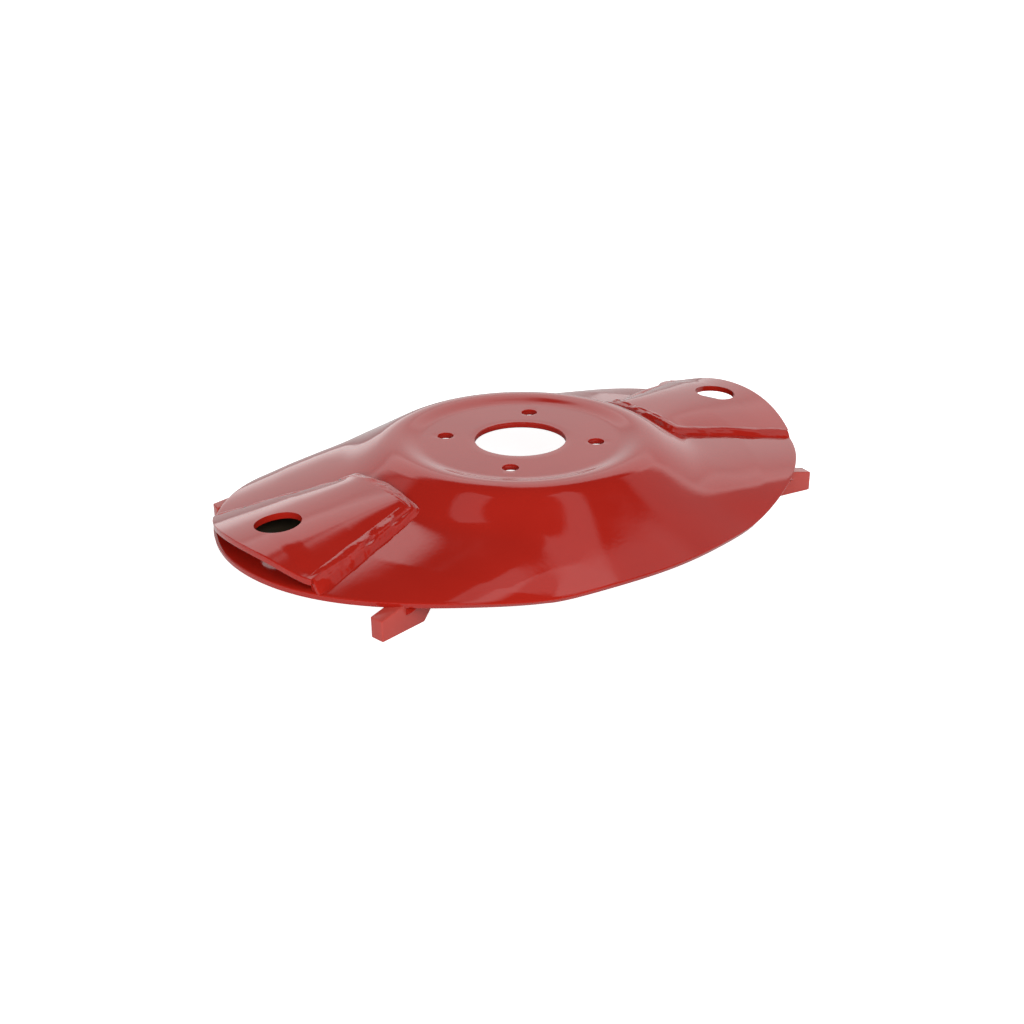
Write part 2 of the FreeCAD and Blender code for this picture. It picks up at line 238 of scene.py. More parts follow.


# Glossy enamel: two reds mixed by broad noise, sparse dark specks, orange peel and sheet waves as bumps.
# A dark spot is (x, y, radius, top height): there the colour turns dark and dull below the top height, on
# faces that don't point down; in the disc's pockets it is painted shade.
# A pinhole is (x, y, radius). The weld grain makes the peel and the waves coarser.
def paintMaterial(name, darkSpots=(), pinholes=(), weldGrain=0.0, **changes):
    s = {**enamel, **changes}
    material = bpy.data.materials.new(name)
    material.use_nodes = True
    tree = material.node_tree
    place = addNode(tree, "ShaderNodeTexCoord", {}).outputs["Object"]

    broad = mapped(tree, cloudy(tree, place, s["redScale"], s["redDetail"]), s["redRange"])
    painted = mixed(tree, broad, (*s["deepRed"], 1), (*s["red"], 1))

    # Specks: cells of which only the few with a high random red get a dot round their centre.
    cells = addNode(tree, "ShaderNodeTexVoronoi", {"Vector": place, "Scale": s["speckScale"]})
    parts = addNode(tree, "ShaderNodeSeparateColor", {"Color": cells.outputs["Color"]})
    rare = calculated(tree, "GREATER_THAN", parts.outputs["Red"], s["speckRarity"])
    speck = calculated(tree, "MULTIPLY", mapped(tree, cells.outputs["Distance"], s["speckReach"]), rare)
    painted = mixed(tree, speck, painted, (*s["speckRed"], 1))

    patches = cloudy(tree, place, s["patchScale"], s["patchDetail"])
    rough = mapped(tree, patches, s["patchRange"], (s["roughness"], s["patchRoughness"]))

    # Dark spots, faded in at a ragged edge: painted shade in the disc's pockets, a dark lower wall in the
    # covers' access holes.
    for x, y, radius, top in darkSpots:
        away = distanceFrom(tree, place, x, y)
        ragged = calculated(tree, "MULTIPLY_ADD", patches, s["darkSpotRagged"], away)
        within = mapped(tree, ragged, [(radius + fade) * mm for fade in s["darkSpotFade"]])
        height = addNode(tree, "ShaderNodeSeparateXYZ", {"Vector": place}).outputs["Z"]
        below = mapped(tree, height, [(top + fade) * mm for fade in (s["darkSpotTopFade"], -s["darkSpotTopFade"])])
        normal = addNode(tree, "ShaderNodeNewGeometry", {}).outputs["Normal"]
        upward = addNode(tree, "ShaderNodeSeparateXYZ", {"Vector": normal}).outputs["Z"]
        facing = calculated(tree, "GREATER_THAN", upward, s["darkSpotFacing"])
        darkened = calculated(tree, "MULTIPLY", within, calculated(tree, "MULTIPLY", below, facing))
        painted = mixed(tree, darkened, painted, (*s["darkSpotColour"], 1))
        rough = mixed(tree, darkened, rough, s["darkSpotRoughness"], "FLOAT")

    for x, y, radius in pinholes:
        away = distanceFrom(tree, place, x, y)
        hole = mapped(tree, away, [radius * fade * mm for fade in s["pinholeFade"]])
        painted = mixed(tree, hole, painted, (*s["pinholeRed"], 1))

    waves = addNode(tree, "ShaderNodeBump", {
        "Height": cloudy(tree, place, s["waveScale"], s["waveDetail"]), "Strength": s["waveStrength"],
        "Distance": s["waveHeight"] * (1 + s["weldWave"] * weldGrain)})
    peel = addNode(tree, "ShaderNodeBump", {
        "Height": cloudy(tree, place, s["peelScale"], s["peelDetail"]), "Strength": s["peelStrength"],
        "Distance": s["peelHeight"] * (1 + s["weldPeel"] * weldGrain), "Normal": waves.outputs["Normal"]})
    pits = addNode(tree, "ShaderNodeBump", {
        "Height": speck, "Strength": s["pitStrength"], "Distance": s["pitHeight"],
        "Normal": peel.outputs["Normal"]}, invert=True)

    shader = tree.nodes["Principled BSDF"]
    tree.links.new(painted, shader.inputs["Base Color"])
    tree.links.new(rough, shader.inputs["Roughness"])
    tree.links.new(pits.outputs["Normal"], shader.inputs["Normal"])
    shader.inputs["IOR"].default_value = s["refraction"]
    return material


# Disc

disc = {
    "sheet": 4.0, "bore": 30.0, "boltCircle": 50.0, "boltTurn": 45.0, "boltHole": 5.25, "holeLip": 0.5,
    "seat": 64.5, "ringWidth": 15.5, "ringRise": 2.78, "ringRoll": 15.0, "coneAngle": 30.1,
    "shoulderLevel": 2.8, "shoulderTilt": 7.8, "shoulderCrown": 7.9, "shoulderFall": 1.5,
    "shoulderStart": 100.0, "shoulderSink": 12.0, "shoulderWidth": 200.0, "shoulderFrom": (90.0, 100.0),
    "crease": 3.0, "creaseSpread": 1.0, "creaseLimit": 1.15,
    "longHalf": 211.0, "shortHalf": 150.8, "fullness": 4.3, "nip": 0.6,
    "bladeBolt": 181.0, "bladeHole": 6.5, "edgeRound": 0.7,
    "angles": 384, "seatRows": 6, "ringRows": 44, "rimRows": 52, "holeTurns": 48,
    "smoothing": 2.5, "profileStep": 0.1, "profileEnds": (-20, 300),
}
coneStart = disc["seat"] + disc["ringWidth"] + disc["ringRoll"]


# Flat seat, S-shaped rise to the ring's crest, rolled top and straight cone, softened along the radius.
def hubProfile(radius):
    d = disc
    crest = d["seat"] + d["ringWidth"]
    fall = math.tan(math.radians(d["coneAngle"]))
    r = np.arange(*d["profileEnds"], d["profileStep"])
    part = np.clip((r - d["seat"]) / d["ringWidth"], 0, 1)
    roll = np.clip(r - crest, 0, d["ringRoll"])
    past = np.maximum(r - crest - d["ringRoll"], 0)
    height = d["ringRise"] * eased(part) - fall * roll ** 2 / (2 * d["ringRoll"]) - fall * past
    window = np.hanning(int(2 * d["smoothing"] / d["profileStep"]) | 1)
    soft = np.convolve(height, window / window.sum(), mode="same")
    return np.interp(radius, r, soft)


# Soft maximum of the hub's profile and an arched shoulder that falls outwards along X.
# The crease between them widens with the cube of the way from the cone's start to the rim.
def discHeight(x, y):
    d = disc
    radius = np.hypot(x, y)
    hub = hubProfile(radius)
    across = y / (d["shoulderWidth"] / 2)
    inside = np.maximum(0, 1 - np.abs(x) / d["shoulderStart"])
    shoulder = (d["shoulderLevel"] - math.tan(math.radians(d["shoulderTilt"])) * np.abs(x)
                - d["shoulderSink"] * inside ** 2 - d["shoulderCrown"] * across ** 2
                - d["shoulderFall"] * across ** 8)
    outward = np.clip((radius - coneStart) / (d["shortHalf"] - coneStart), 0, d["creaseLimit"])
    crease = d["crease"] * (1 + d["creaseSpread"] * outward ** 3)
    soft = (hub + shoulder + np.sqrt((hub - shoulder) ** 2 + crease ** 2)) / 2
    low, high = d["shoulderFrom"]
    return hub + (soft - hub) * eased(np.clip((radius - low) / (high - low), 0, 1))


# Unit upward normal of a height field by central differences.
def slopesOf(heightOf, x, y, step=0.4):
    gx = (heightOf(x + step, y) - heightOf(x - step, y)) / (2 * step)
    gy = (heightOf(x, y + step) - heightOf(x, y - step)) / (2 * step)
    length = np.sqrt(gx ** 2 + gy ** 2 + 1)
    return np.stack([-gx / length, -gy / length, 1 / length], -1)


# Oval outline: a mean radius with second, fourth and sixth harmonics.
def rimRadius(angle):
    d = disc
    mean = (d["longHalf"] + d["shortHalf"]) / 2 - d["fullness"]
    swing = (d["longHalf"] - d["shortHalf"]) / 2 + d["nip"]
    return (mean + swing * np.cos(2 * angle) + d["fullness"] * np.cos(4 * angle)
            - d["nip"] * np.cos(6 * angle))


# Cutting profile of a hub bolt hole: its wall with a quarter round at each mouth, wider past both faces.
def holeProfile():
    d = disc
    lip, past, margin = d["holeLip"], 0.01, 0.3
    wide = d["boltHole"] + lip + margin
    quarter = np.linspace(0, math.pi / 2, 6)
    upper = [(d["boltHole"] + lip * (1 - math.sin(q)) + 0.001, -lip * (1 - math.cos(q))) for q in quarter]
    lower = [(r, -d["sheet"] - z) for r, z in upper[::-1]]
    mouth = upper[0][0]
    return [(wide, 8), (wide, 2 * past), (mouth, past), *upper[1:], *lower[:-1],
            (mouth, -d["sheet"] - past), (wide, -d["sheet"] - 2 * past), (wide, -12)]


# Closed loops of the sheet's section, one at each angle: upper face out, rounded rim, lower face back and
# bore wall. The lower face lies a sheet below the upper one, square to it; the holes are cut last.
def makeDisc():
    d = disc
    angle = np.linspace(0, fullTurn, d["angles"], endpoint=False)
    rim = rimRadius(angle)[:, None]
    outer = coneStart + 3
    inner = np.concatenate([np.linspace(d["bore"] + d["edgeRound"], d["seat"] - 4, d["seatRows"]),
                            np.linspace(d["seat"] - 3, outer, d["ringRows"])])
    share = np.linspace(0, 1, d["rimRows"] + 1)[1:][None]
    radii = np.concatenate([np.repeat(inner[None], d["angles"], 0),
                            outer + (rim - d["edgeRound"] - outer) * share], 1)
    x, y = radii * np.cos(angle)[:, None], radii * np.sin(angle)[:, None]
    top = np.stack([x, y, discHeight(x, y)], -1)
    normal = slopesOf(discHeight, x, y)
    normal[:, :d["seatRows"]] = (0, 0, 1)
    bottom = top - normal * d["sheet"]

    # Quarter rounds at both corners of the sheet's edge.
    def edge(end, outward):
        n = normal[:, end]
        t = outward - n * np.sum(outward * n, -1, keepdims=True)
        t /= np.linalg.norm(t, axis=-1, keepdims=True)
        rho = d["edgeRound"]
        quarter = np.linspace(0, math.pi / 2, 5)[1:, None, None]
        back = quarter - quarter[0]
        upper = top[:, end] + t * rho * np.sin(quarter) - n * rho * (1 - np.cos(quarter))
        lower = bottom[:, end] + t * rho * np.cos(back) + n * rho * (1 - np.sin(back))
        return np.concatenate([upper, lower], 0).transpose(1, 0, 2)

    radial = np.stack([np.cos(angle), np.sin(angle), 0 * angle], -1)
    loop = np.concatenate([top, edge(-1, radial), bottom[:, ::-1], edge(0, -radial)[:, ::-1]], 1)
    rows, columns = loop.shape[:2]
    faces = gridFaces(rows, columns, wrapRows=True, wrapColumns=True)
    piece = addMesh("discSheet", loop.reshape(-1, 3), faces, discPaint)
    outwards(piece)
    tools = []
    for k in range(4):
        turn = math.radians(d["boltTurn"] + 90 * k)
        centre = (d["boltCircle"] * math.cos(turn), d["boltCircle"] * math.sin(turn))
        tools.append(revolvedTool(centre, holeProfile(), discPaint, d["holeTurns"]))
    for side in (1, -1):
        wall = [(d["bladeHole"], -5), (d["bladeHole"], -40)]  # from above the sheet to below it
        tools.append(revolvedTool((side * d["bladeBolt"], 0), wall, discPaint, d["holeTurns"]))
    cutWith(piece, tools)
    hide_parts("disc_plate")
    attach(piece, "root")
    return piece


# Dark spots deep inside the pockets under the covers: painted shade on the pocket floors.
discPaint = paintMaterial("discEnamel", darkSpots=((164, -14, 29, -10), (-164, 14, 29, -10)))
discPiece = makeDisc()
print("disc made:", len(discPiece.data.polygons), "faces")


# Blade covers

cover = {
    "start": 110.0, "innerHalf": 31.0, "outerHalf": 60.0, "mouthHeight": 12.8, "innerLift": 0.8,
    "crownHalf": 22.0, "crownShift": 6.0, "gap": 0.1,
    "flare": 5.5, "flareAtStart": 0.15, "flareFrom": 0.88, "flareLift": 4.5, "liftPower": 1.6,
    "bends": (30.0, 18.0, 5.0), "bendAtStart": 0.3, "flareBendLeast": 0.15,
    "accessHole": 14.25, "edgeRound": 0.55,
    "along": 90, "across": 120, "edgeCrowding": 0.25, "holeTurns": 96,
}


# Distance from the Y axis to the outline at y.
def rimReach(y):
    def isInside(x):
        return np.hypot(x, y) < rimRadius(np.arctan2(y, x))

    return lastInside(np.zeros_like(y), np.full_like(y, disc["longHalf"] * 1.2), isInside)


coverEnd = rimReach(np.array([cover["outerHalf"]]))[0]


# Corners of the upper face across Y at each x: flush edge, both ends of the crown, flare and raised edge.
# They are worked out for the lower face, then moved up a sheet square to the mean slope of their two runs.
def coverCorners(x):
    c = cover
    part = (x - c["start"]) / (coverEnd - c["start"])
    half = c["innerHalf"] + (c["outerHalf"] - c["innerHalf"]) * part
    crownStart = discHeight(np.array([c["start"]]), np.array([0.0]))[0] + c["innerLift"]
    crownEnd = discHeight(np.array([coverEnd]), np.array([0.0]))[0] + c["mouthHeight"]
    crown = crownStart + (crownEnd - crownStart) * part
    opening = eased(np.clip((part - c["flareFrom"]) / (1 - c["flareFrom"]), 0, 1))
    flare = half - c["flare"] * (c["flareAtStart"] + (1 - c["flareAtStart"]) * opening)
    lift = c["gap"] + c["flareLift"] * np.maximum(part, 0) ** c["liftPower"]
    shift = c["crownShift"] * part
    y = np.stack([-half, shift - c["crownHalf"], shift + c["crownHalf"], flare, half])
    z = np.stack([discHeight(x, -half) + c["gap"], crown, crown, discHeight(x, flare) + lift,
                  discHeight(x, half) + lift])
    slant = np.arctan2(np.diff(z, axis=0), np.diff(y, axis=0))
    before = np.concatenate([slant[:1], slant])
    after = np.concatenate([slant, slant[-1:]])
    reach = disc["sheet"] / np.cos((after - before) / 2)
    middle = (before + after) / 2
    return y - np.sin(middle) * reach, z + np.cos(middle) * reach


# Straight runs between the corners, each bend softened to a hyperbola that widens outwards.
# A straight share across the width brings both edges back to their corners.
def coverHeight(x, y):
    c = cover
    flatX, flatY = x.ravel(), y.ravel()
    cy, cz = coverCorners(flatX)
    part = (flatX - c["start"]) / (coverEnd - c["start"])
    slope = np.diff(cz, axis=0) / np.diff(cy, axis=0)
    crownWidth = c["bendAtStart"] + (1 - c["bendAtStart"]) * part
    flareWidth = np.clip(part * 6 - 5, c["flareBendLeast"], 1)  # opens over the last sixth
    bends = [bend * width for bend, width in zip(c["bends"], (crownWidth, crownWidth, flareWidth))]

    def section(acrossY):
        z = cz[0] + slope[0] * (acrossY - cy[0])
        for k, bend in enumerate(bends, 1):
            past = acrossY - cy[k]
            z = z + (slope[k] - slope[k - 1]) * (past + np.sqrt(past ** 2 + bend ** 2)) / 2
        return z

    share = (flatY - cy[0]) / (cy[4] - cy[0])
    z = section(flatY) - (section(cy[0]) - cz[0]) * (1 - share) - (section(cy[4]) - cz[4]) * share
    return z.reshape(x.shape)


# Upper face: along runs from the inner end to the outline, across runs from flush to raised edge.
def coverGrid():
    c = cover
    even = np.linspace(0, 1, c["across"])
    t = (1 - np.cos(math.pi * even)) / 2 * c["edgeCrowding"] + even * (1 - c["edgeCrowding"])

    def sideways(x):
        cy, _ = coverCorners(x)
        return cy[0] + (cy[-1] - cy[0]) * t

    def isInside(x):
        y = sideways(x)
        return np.hypot(x, y) < rimRadius(np.arctan2(y, x)) - c["gap"]

    start = np.full(c["across"], c["start"])
    reach = lastInside(start, np.full(c["across"], disc["longHalf"] + 4.0), isInside)
    along = np.linspace(0, 1, c["along"])[:, None]
    x = c["start"] + (reach[None] - c["start"]) * along
    y = np.stack([sideways(row) for row in x])
    return x, y


# Two faces a sheet apart on one grid, joined round the border, with rounded edges and the access hole.
def makeCover(side):
    x, y = coverGrid()
    z = coverHeight(x, y)
    normal = slopesOf(coverHeight, x, y)
    normal[..., 0] = 0
    normal /= np.linalg.norm(normal, axis=-1, keepdims=True)
    top = np.stack([x, y, z], -1)
    under = top - normal * disc["sheet"]
    rows, columns = x.shape
    points = np.concatenate([top.reshape(-1, 3), under.reshape(-1, 3)])
    points[:, :2] *= side
    upper = gridFaces(rows, columns)
    count = rows * columns
    lower = upper[:, ::-1] + count
    ring = np.concatenate([np.arange(columns), np.arange(1, rows) * columns + columns - 1,
                           (rows - 1) * columns + np.arange(columns - 2, -1, -1),
                           np.arange(rows - 2, 0, -1) * columns])
    after = np.roll(ring, -1)
    border = np.stack([ring, ring + count, after + count, after], -1)
    name = "coverRight" if side > 0 else "coverLeft"
    piece = addMesh(name, points, np.concatenate([upper, lower, border]), coverPaint)
    outwards(piece)
    roundEdges(piece, cover["edgeRound"])
    wall = [(cover["accessHole"], 5), (cover["accessHole"], -30)]  # from above the cover to below it
    cutWith(piece, [revolvedTool((side * disc["bladeBolt"], 0), wall, coverPaint, cover["holeTurns"])])
    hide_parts("blade_cover_right" if side > 0 else "blade_cover_left")
    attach(piece, "root")


seamPinholes = ((-175.7, 53.4, 0.9), (-139.5, 41.5, 0.7), (-134.7, 39.9, 0.7), (-118.0, 34.6, 0.8))
# Dark spots at the access holes: the lower half of each hole's wall turns dark.
coverPaint = paintMaterial("coverEnamel", darkSpots=((181, 0, 11.5, -9.6), (-181, 0, 11.5, -9.6)),
                           pinholes=seamPinholes)
for side in (1, -1):
    makeCover(side)
print("covers made")


# Weld beads round the covers

bead = {
    "leg": 7.0, "legUneven": (0.16, 14.0), "endLeg": 0.4, "endRound": 5.0,
    "inset": 1.5, "extraInset": 3.0, "insetUneven": (0.4, 11.0), "headSink": 0.2,
    "kneeOut": 2.2, "kneeUp": 0.45, "kneeFlushDrop": 0.35,
    "bulge": 0.65, "bulgeUneven": (0.35, 11.0), "bulgePower": 0.75, "bulgeSlant": 1.4, "flushShare": 0.5,
    "lump": 0.85, "lumpLength": 8.0, "streak": 0.35, "streakLength": 15.0,
    "ripple": 0.03, "rippleLength": 5.2, "rippleBow": 2.2, "rippleUneven": (1.5, 9.0),
    "groove": 0.3, "groovePlace": 0.52, "grooveWander": (0.08, 20.0), "grooveWidth": 0.09,
    "sink": 0.7, "toeSink": 0.4, "tuck": 2.0, "backInset": 0.6, "backSink": 1.6,
    "rimGap": 0.5, "rimInset": 1.5, "extraHalf": 1.0,
    "along": 520, "across": 22, "sidePoints": 90, "endPoints": 60, "turnWindow": 25, "smoothAngle": 60,
}


# Points on the cover's upper edge and outward directions, evenly spaced along the edge:
# raised edge inwards, inner end, flush edge outwards. The directions turn softly at the two corners.
def beadPath():
    c, b = cover, bead
    outer = rimReach(np.array([c["outerHalf"] + b["extraHalf"]]))[0] - b["rimInset"]
    x = np.linspace(outer, c["start"], b["sidePoints"])
    cy, cz = coverCorners(x)
    raised = np.stack([x, cy[-1], cz[-1]], -1)
    flush = np.stack([x, cy[0], cz[0]], -1)[::-1]
    endY = np.linspace(raised[-1, 1], flush[0, 1], b["endPoints"])
    startX = np.full_like(endY, c["start"])
    inner = np.stack([startX, endY, coverHeight(startX, endY)], -1)
    path = np.concatenate([raised[:-1], inner, flush[1:]])
    aim = np.concatenate([np.tile([0.0, 1.0], (len(raised) - 1, 1)), np.tile([-1.0, 0.0], (len(inner), 1)),
                          np.tile([0.0, -1.0], (len(flush) - 1, 1))])
    length = np.concatenate([[0], np.cumsum(np.linalg.norm(np.diff(path, axis=0), axis=1))])
    even = np.linspace(0, length[-1], b["along"])
    path = np.stack([np.interp(even, length, path[:, k]) for k in range(3)], -1)
    aim = np.stack([np.interp(even, length, aim[:, k]) for k in range(2)], -1)
    window = np.hanning(b["turnWindow"])
    window /= window.sum()
    margin = b["turnWindow"] // 2
    padded = np.pad(aim, ((margin, margin), (0, 0)), mode="edge")
    aim = np.stack([np.convolve(padded[:, k], window, mode="valid") for k in range(2)], -1)
    aim /= np.linalg.norm(aim, axis=1, keepdims=True)
    return path, aim, even


# Height of the bead's face over its plain arc, s along and w across: a bulge with lumps, ripples and streaks,
# less a groove between two runs, all of it fading towards the ends.
def beadLift(s, w, seed):
    b = bead
    uneven, run = b["bulgeUneven"]
    lift = b["bulge"] * (1 + uneven * softNoise(s / run, w * 2, seed + 2))
    lift = lift + b["lump"] * softNoise(s / b["lumpLength"] + w * 1.2, w * 2.2, seed + 3)
    uneven, run = b["rippleUneven"]
    bowed = s + b["rippleBow"] * np.abs(w - 0.5) + uneven * softNoise(s / run, w, seed + 4)
    lift = lift + b["ripple"] * np.sin(fullTurn * bowed / b["rippleLength"])
    lift = lift + b["streak"] * softNoise(s / b["streakLength"], w * 6, seed + 6)
    wander, run = b["grooveWander"]
    aside = w - b["groovePlace"] - wander * softNoise(s / run, 0 * s, seed + 5)
    return lift - b["groove"] * np.exp(-(aside / b["grooveWidth"]) ** 2)


# Profile: quadratic arc from the cover's face (head) over its edge (knee) to the toe on the disc, lifted by
# beadLift, then closed through points inside the disc and the cover. The outline holds it in at the rim.
def makeBead(side, seed):
    b = bead
    path, aim, length = beadPath()
    w = np.linspace(0, 1, b["across"])[None, :]
    s = length[:, None]
    fromEnd = np.clip(np.minimum(s, length[-1] - s) / b["endRound"], 0, 1)
    ending = np.sqrt(1 - (1 - fromEnd) ** 2)
    flush = np.clip(-aim[:, 1:], 0, 1)

    uneven, run = b["legUneven"]
    reach = b["leg"] * (1 + uneven * softNoise(s / run, 0 * s, seed))
    reach = reach * (b["endLeg"] + (1 - b["endLeg"]) * ending)
    toe = path[:, :2] + aim * reach
    toe = np.concatenate([toe, discHeight(toe[:, 0], toe[:, 1])[:, None] - b["sink"] * b["toeSink"]], 1)
    uneven, run = b["insetUneven"]
    inset = b["inset"] + b["extraInset"] * np.clip(aim[:, 1:], 0, 1)
    inset = inset + uneven * softNoise(s / run, 0 * s + 3, seed + 1)
    headXY = path[:, :2] - aim * inset
    head = np.concatenate([headXY, coverHeight(headXY[:, 0], headXY[:, 1])[:, None] - b["headSink"]], 1)
    knee = path + np.concatenate([aim * b["kneeOut"], b["kneeUp"] - b["kneeFlushDrop"] * flush], 1)

    swell = np.sin(math.pi * w) ** b["bulgePower"]
    lift = beadLift(s, w, seed) * ending * (1 - b["flushShare"] * flush)
    out = np.concatenate([aim, np.full((len(aim), 1), b["bulgeSlant"])], 1)
    out /= np.linalg.norm(out, axis=1, keepdims=True)
    u = w[..., None]
    face = head[:, None] * (1 - u) ** 2 + knee[:, None] * 2 * u * (1 - u) + toe[:, None] * u ** 2
    face = face + out[:, None] * (swell * lift)[..., None]

    below = toe - np.array([0, 0, b["sink"]])
    rootXY = path[:, :2] - aim * b["tuck"]
    root = np.concatenate([rootXY, discHeight(rootXY[:, 0], rootXY[:, 1])[:, None] - b["sink"]], 1)
    inboard = head + np.concatenate([-aim * b["backInset"], 0 * reach - b["backSink"]], 1)
    loop = np.concatenate([face, below[:, None], root[:, None], inboard[:, None]], 1)
    distance = np.hypot(loop[..., 0], loop[..., 1])
    limit = rimRadius(np.arctan2(loop[..., 1], loop[..., 0])) - b["rimGap"]
    loop[..., :2] *= np.minimum(1, limit / distance)[..., None]
    loop[..., :2] *= side
    rows, columns = loop.shape[:2]
    faces = gridFaces(rows, columns, wrapColumns=True).tolist()
    faces.append(list(range(columns)))
    faces.append(list(range((rows - 1) * columns, rows * columns))[::-1])
    name = "coverBeadRight" if side > 0 else "coverBeadLeft"
    piece = addMesh(name, loop.reshape(-1, 3), faces, beadPaint, smoothAngle=b["smoothAngle"])
    outwards(piece)
    piece.data.set_sharp_from_angle(angle=math.radians(b["smoothAngle"]))
    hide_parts("cover_weld_right" if side > 0 else "cover_weld_left")
    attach(piece, "root")


beadPaint = paintMaterial("beadEnamel", weldGrain=1.0, pinholes=seamPinholes)
makeBead(1, 11)
makeBead(-1, 29)
print("weld beads made")


# Feed lugs

lug = {
    "width": 9.5, "drop": 13.0, "foot": 32.0, "length": 51.0, "slope": 12.0, "belowRim": 5.6, "fan": 10.0,
    "leftAngle": 28.9, "leftOverhang": 9.4, "rightAngle": 31.4, "rightOverhang": 7.5,
    "noseStart": 6.0, "noseSink": 0.6, "noseEnd": 1.5, "noseDrop": 2.6, "edgeRound": 0.8,
}


# Height of the lugs' top line at the outer end, from the rim's height midway between the two lug angles.
def lugLevel():
    turn = math.radians((lug["leftAngle"] + lug["rightAngle"]) / 2)
    radius = rimRadius(np.array([turn]))[0]
    rim = discHeight(np.array([radius * math.cos(turn)]), np.array([radius * math.sin(turn)]))[0]
    return rim - lug["belowRim"]


# Flat bar on edge: one outline carried across the width, its top hidden inside the sheet past the rim.
def makeLug(row, end, sideX, sideY):
    g = lug
    turn = math.radians(g[end + "Angle"])
    reach = rimRadius(np.array([turn]))[0] + g[end + "Overhang"]
    fan = math.radians(g["fan"])
    endPoint = np.array([sideX * math.cos(turn), sideY * math.sin(turn)]) * reach
    out = np.array([sideX * math.cos(fan), sideY * math.sin(fan)])
    left = np.array([-out[1], out[0]])
    top = lugLevel()
    noseTop = top + math.tan(math.radians(g["slope"])) * (g["length"] - g["noseStart"])
    outline = [(0, top - g["drop"]), (0, top), (g["length"] - g["noseStart"], noseTop - g["noseSink"]),
               (g["length"] - g["noseEnd"], noseTop - g["noseDrop"]), (g["foot"], top - g["drop"])]
    points = []
    for across in (-g["width"] / 2, g["width"] / 2):
        for along, z in outline:
            points.append([*(endPoint - out * along + left * across), z])
    count = len(outline)
    faces = [list(range(count)), list(range(count, 2 * count))[::-1]]
    faces += [[k, (k + 1) % count, (k + 1) % count + count, k + count] for k in range(count)]
    piece = addMesh("lug" + row.title() + end.title(), points, faces, lugLitPaint)
    outwards(piece)
    roundEdges(piece, g["edgeRound"], angle=25, segments=4)
    node = "feed_lug_" + row + "_" + end
    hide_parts(node)
    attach(piece, "root")


# Lugs: a lighter red copy of the enamel, painted light for the bright room mirrored in their upright faces,
# and rougher.
lugLitPaint = paintMaterial("lugLitEnamel", red=(0.46, 0.055, 0.042), deepRed=(0.42, 0.045, 0.034), roughness=0.25)
for row, sideY in (("front", -1), ("back", 1)):
    for end, sideX in (("left", -1), ("right", 1)):
        makeLug(row, end, sideX, sideY)

# The short lug welds keep their solids and only take the paint.
for node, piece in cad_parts.items():
    if node.startswith("lug_weld"):
        piece.data.materials.clear()
        piece.data.materials.append(beadPaint)
print("lugs made")


# Floor, light and camera

# Directions are counted from the view: azimuth 0 is straight behind the object, plus is to the right.
view = {
    "position": (-515.31, -665.77, 329.74), "turn": 37.33, "elevation": 24.457, "roll": -0.640,
    "focal": 1370.0, "frame": 1024.0, "sensor": 36.0, "farthest": 50.0,
}
toRight = np.array([math.cos(math.radians(view["turn"])), -math.sin(math.radians(view["turn"])), 0])
toBack = np.array([math.sin(math.radians(view["turn"])), math.cos(math.radians(view["turn"])), 0])

# Fields are bright parts of the room as the paint mirrors them, in degrees of azimuth and elevation.
# A rise lets the upper edge climb with the azimuth: where it begins, and how steeply.
studio = {
    "dark": 0.06,
    "fields": {
        "backdrop": {"azimuth": (-44, 41), "elevation": (-30, 27), "soft": 7, "level": 1.1},
        "leftBackdrop": {"azimuth": (-52, -8), "elevation": (-30, 9), "soft": 10, "level": 0.45},
        "panelLeft": {"azimuth": (-38, -2), "elevation": (27, 45), "soft": 5, "level": 1.55},
        "panelRight": {"azimuth": (-2, 38), "elevation": (27, 50), "rise": (8, -0.36), "soft": 6,
                       "level": 1.45},
        "leftWall": {"azimuth": (-100, -40), "elevation": (20, 46), "soft": 5, "level": 0.5},
        "rightWall": {"azimuth": (36, 90), "elevation": (-30, 47), "rise": (52.5, 1.55), "soft": 4,
                      "level": 0.46},
        "highWall": {"azimuth": (55, 90), "elevation": (44, 47), "rise": (52.5, 1.55), "soft": 5,
                     "level": 0.25},
        "upperArc": {"azimuth": (30, 112), "elevation": (66, 74), "soft": 2, "level": 0.75},
        "leftArc": {"azimuth": (-75, -32), "elevation": (65, 75), "soft": 2, "level": 0.6},
    },
    "fills": {
        "lowFill": {"azimuth": -150, "elevation": 12, "width": 1.6, "height": 1.2, "distance": 2.6,
                    "power": 34.0},
        "highFill": {"azimuth": 150, "elevation": 36, "width": 2.0, "height": 1.6, "distance": 2.6,
                     "power": 52.0},
    },
    "floorHalf": 6000.0, "floorGrey": 0.8, "floorRoughness": 0.9, "floorGlow": 0.95, "floorMirror": 0.1,
}


# Placement whose own X, Y and Z axes are right, up and back.
def standing(right, up, back, place):
    return Matrix([[right[k], up[k], back[k], place[k]] for k in range(3)] + [[0, 0, 0, 1]])


# Soft lamp on the camera's side that lights the paint but isn't mirrored in it.
def addFill(name, f):
    az, el = math.radians(f["azimuth"]), math.radians(f["elevation"])
    away = (toRight * math.sin(az) + toBack * math.cos(az)) * math.cos(el) + np.array([0, 0, math.sin(el)])
    side = np.cross([0, 0, 1], away)
    side = side / np.linalg.norm(side)
    light = bpy.data.lights.new(name, "AREA")
    light.shape = "RECTANGLE"
    light.size = f["width"]
    light.size_y = f["height"]
    light.energy = f["power"]
    lamp = bpy.data.objects.new(name, light)
    bpy.context.scene.collection.objects.link(lamp)
    lamp.matrix_world = standing(side, np.cross(away, side), away, away * f["distance"])
    lamp.visible_camera = False
    lamp.visible_glossy = False


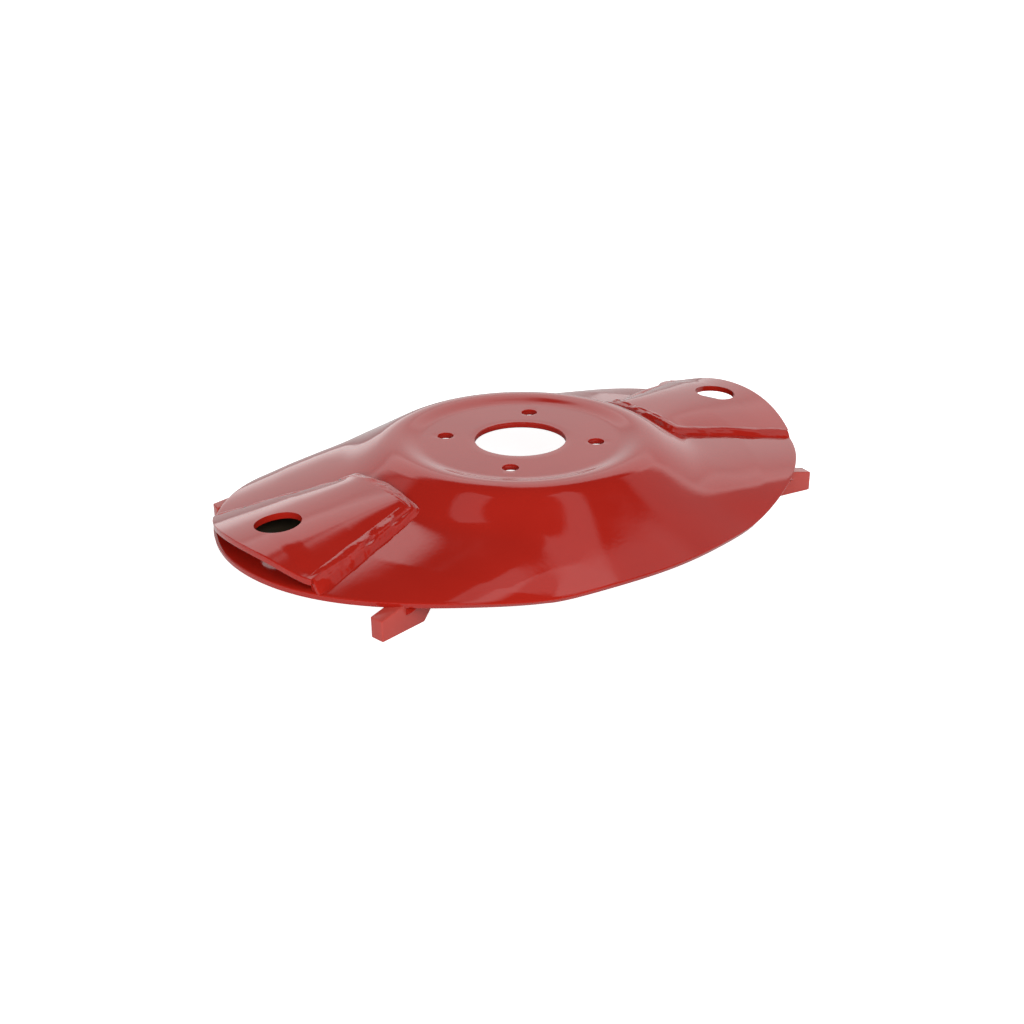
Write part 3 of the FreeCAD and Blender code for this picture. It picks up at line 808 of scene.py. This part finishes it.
# Pale sheet under the lugs: its own glow makes it nearly white to the camera and keeps the shadow faint.
def makeFloor():
    material = bpy.data.materials.new("paleFloor")
    material.use_nodes = True
    tree = material.node_tree
    path = addNode(tree, "ShaderNodeLightPath", {}).outputs
    glow = calculated(tree, "MULTIPLY", path["Is Camera Ray"], studio["floorGlow"])
    glow = calculated(tree, "MULTIPLY_ADD", path["Is Glossy Ray"], studio["floorMirror"], glow)
    shader = tree.nodes["Principled BSDF"]
    shader.inputs["Base Color"].default_value = (*[studio["floorGrey"]] * 3, 1)
    shader.inputs["Roughness"].default_value = studio["floorRoughness"]
    shader.inputs["Emission Color"].default_value = (1, 1, 1, 1)
    tree.links.new(glow, shader.inputs["Emission Strength"])
    level, half = cadBox[0][2] / mm, studio["floorHalf"]
    points = [(-half, -half, level), (half, -half, level), (half, half, level), (-half, half, level)]
    floor = addMesh("floor", points, [(0, 1, 2, 3)], material)


# White to the camera; for everything else a dark room with the studio's bright fields added up.
# A field is the product of soft steps at its two sides, its foot and its upper edge.
def setWorld():
    world = bpy.data.worlds.new("studio")
    bpy.context.scene.world = world
    world.use_nodes = True
    tree = world.node_tree
    direction = addNode(tree, "ShaderNodeTexCoord", {}).outputs["Generated"]

    def along(axis):
        return addNode(tree, "ShaderNodeVectorMath", {0: direction, 1: axis},
                       operation="DOT_PRODUCT").outputs["Value"]

    def softStep(value, low, high):
        return mapped(tree, value, (math.radians(low), math.radians(high)), curve="SMOOTHSTEP")

    azimuth = calculated(tree, "ARCTAN2", along(toRight), along(toBack))
    elevation = calculated(tree, "ARCSINE", along((0, 0, 1)))
    total = studio["dark"]
    for field in studio["fields"].values():
        soft = field["soft"] / 2
        left, right = field["azimuth"]
        low, high = field["elevation"]
        top = elevation
        if "rise" in field:
            begins, steepness = field["rise"]
            beyond = calculated(tree, "SUBTRACT", azimuth, math.radians(begins))
            beyond = calculated(tree, "MAXIMUM", beyond, 0.0)
            top = calculated(tree, "SUBTRACT", elevation, calculated(tree, "MULTIPLY", beyond, steepness))
        inside = calculated(tree, "MULTIPLY", softStep(azimuth, left - soft, left + soft),
                            softStep(azimuth, right + soft, right - soft))
        between = calculated(tree, "MULTIPLY", softStep(elevation, low - soft, low + soft),
                             softStep(top, high + soft, high - soft))
        lit = calculated(tree, "MULTIPLY", calculated(tree, "MULTIPLY", inside, between), field["level"])
        total = calculated(tree, "ADD", lit, total)
    toCamera = addNode(tree, "ShaderNodeLightPath", {}).outputs["Is Camera Ray"]
    background = tree.nodes["Background"]
    background.inputs["Color"].default_value = (1, 1, 1, 1)
    tree.links.new(mixed(tree, toCamera, total, 1.0, "FLOAT"), background.inputs["Strength"])


# Photograph's viewpoint: position, elevation, turn about the upright axis and a slight roll.
def addCamera():
    el, roll = math.radians(view["elevation"]), math.radians(view["roll"])
    forward = toBack * math.cos(el) + np.array([0, 0, -math.sin(el)])
    level, steep = toRight, toBack * math.sin(el) + np.array([0, 0, math.cos(el)])
    right = level * math.cos(roll) + steep * math.sin(roll)
    up = steep * math.cos(roll) - level * math.sin(roll)
    data = bpy.data.cameras.new("photoCamera")
    data.sensor_width = view["sensor"]
    data.lens = view["focal"] / view["frame"] * view["sensor"]
    data.clip_end = view["farthest"]
    camera = bpy.data.objects.new("photoCamera", data)
    bpy.context.scene.collection.objects.link(camera)
    camera.matrix_world = standing(right, up, -forward, [v * mm for v in view["position"]])
    bpy.context.scene.camera = camera


for name, fill in studio["fills"].items():
    addFill(name, fill)
makeFloor()
setWorld()
addCamera()
bpy.context.scene.view_settings.view_transform = "Standard"
print("studio set")
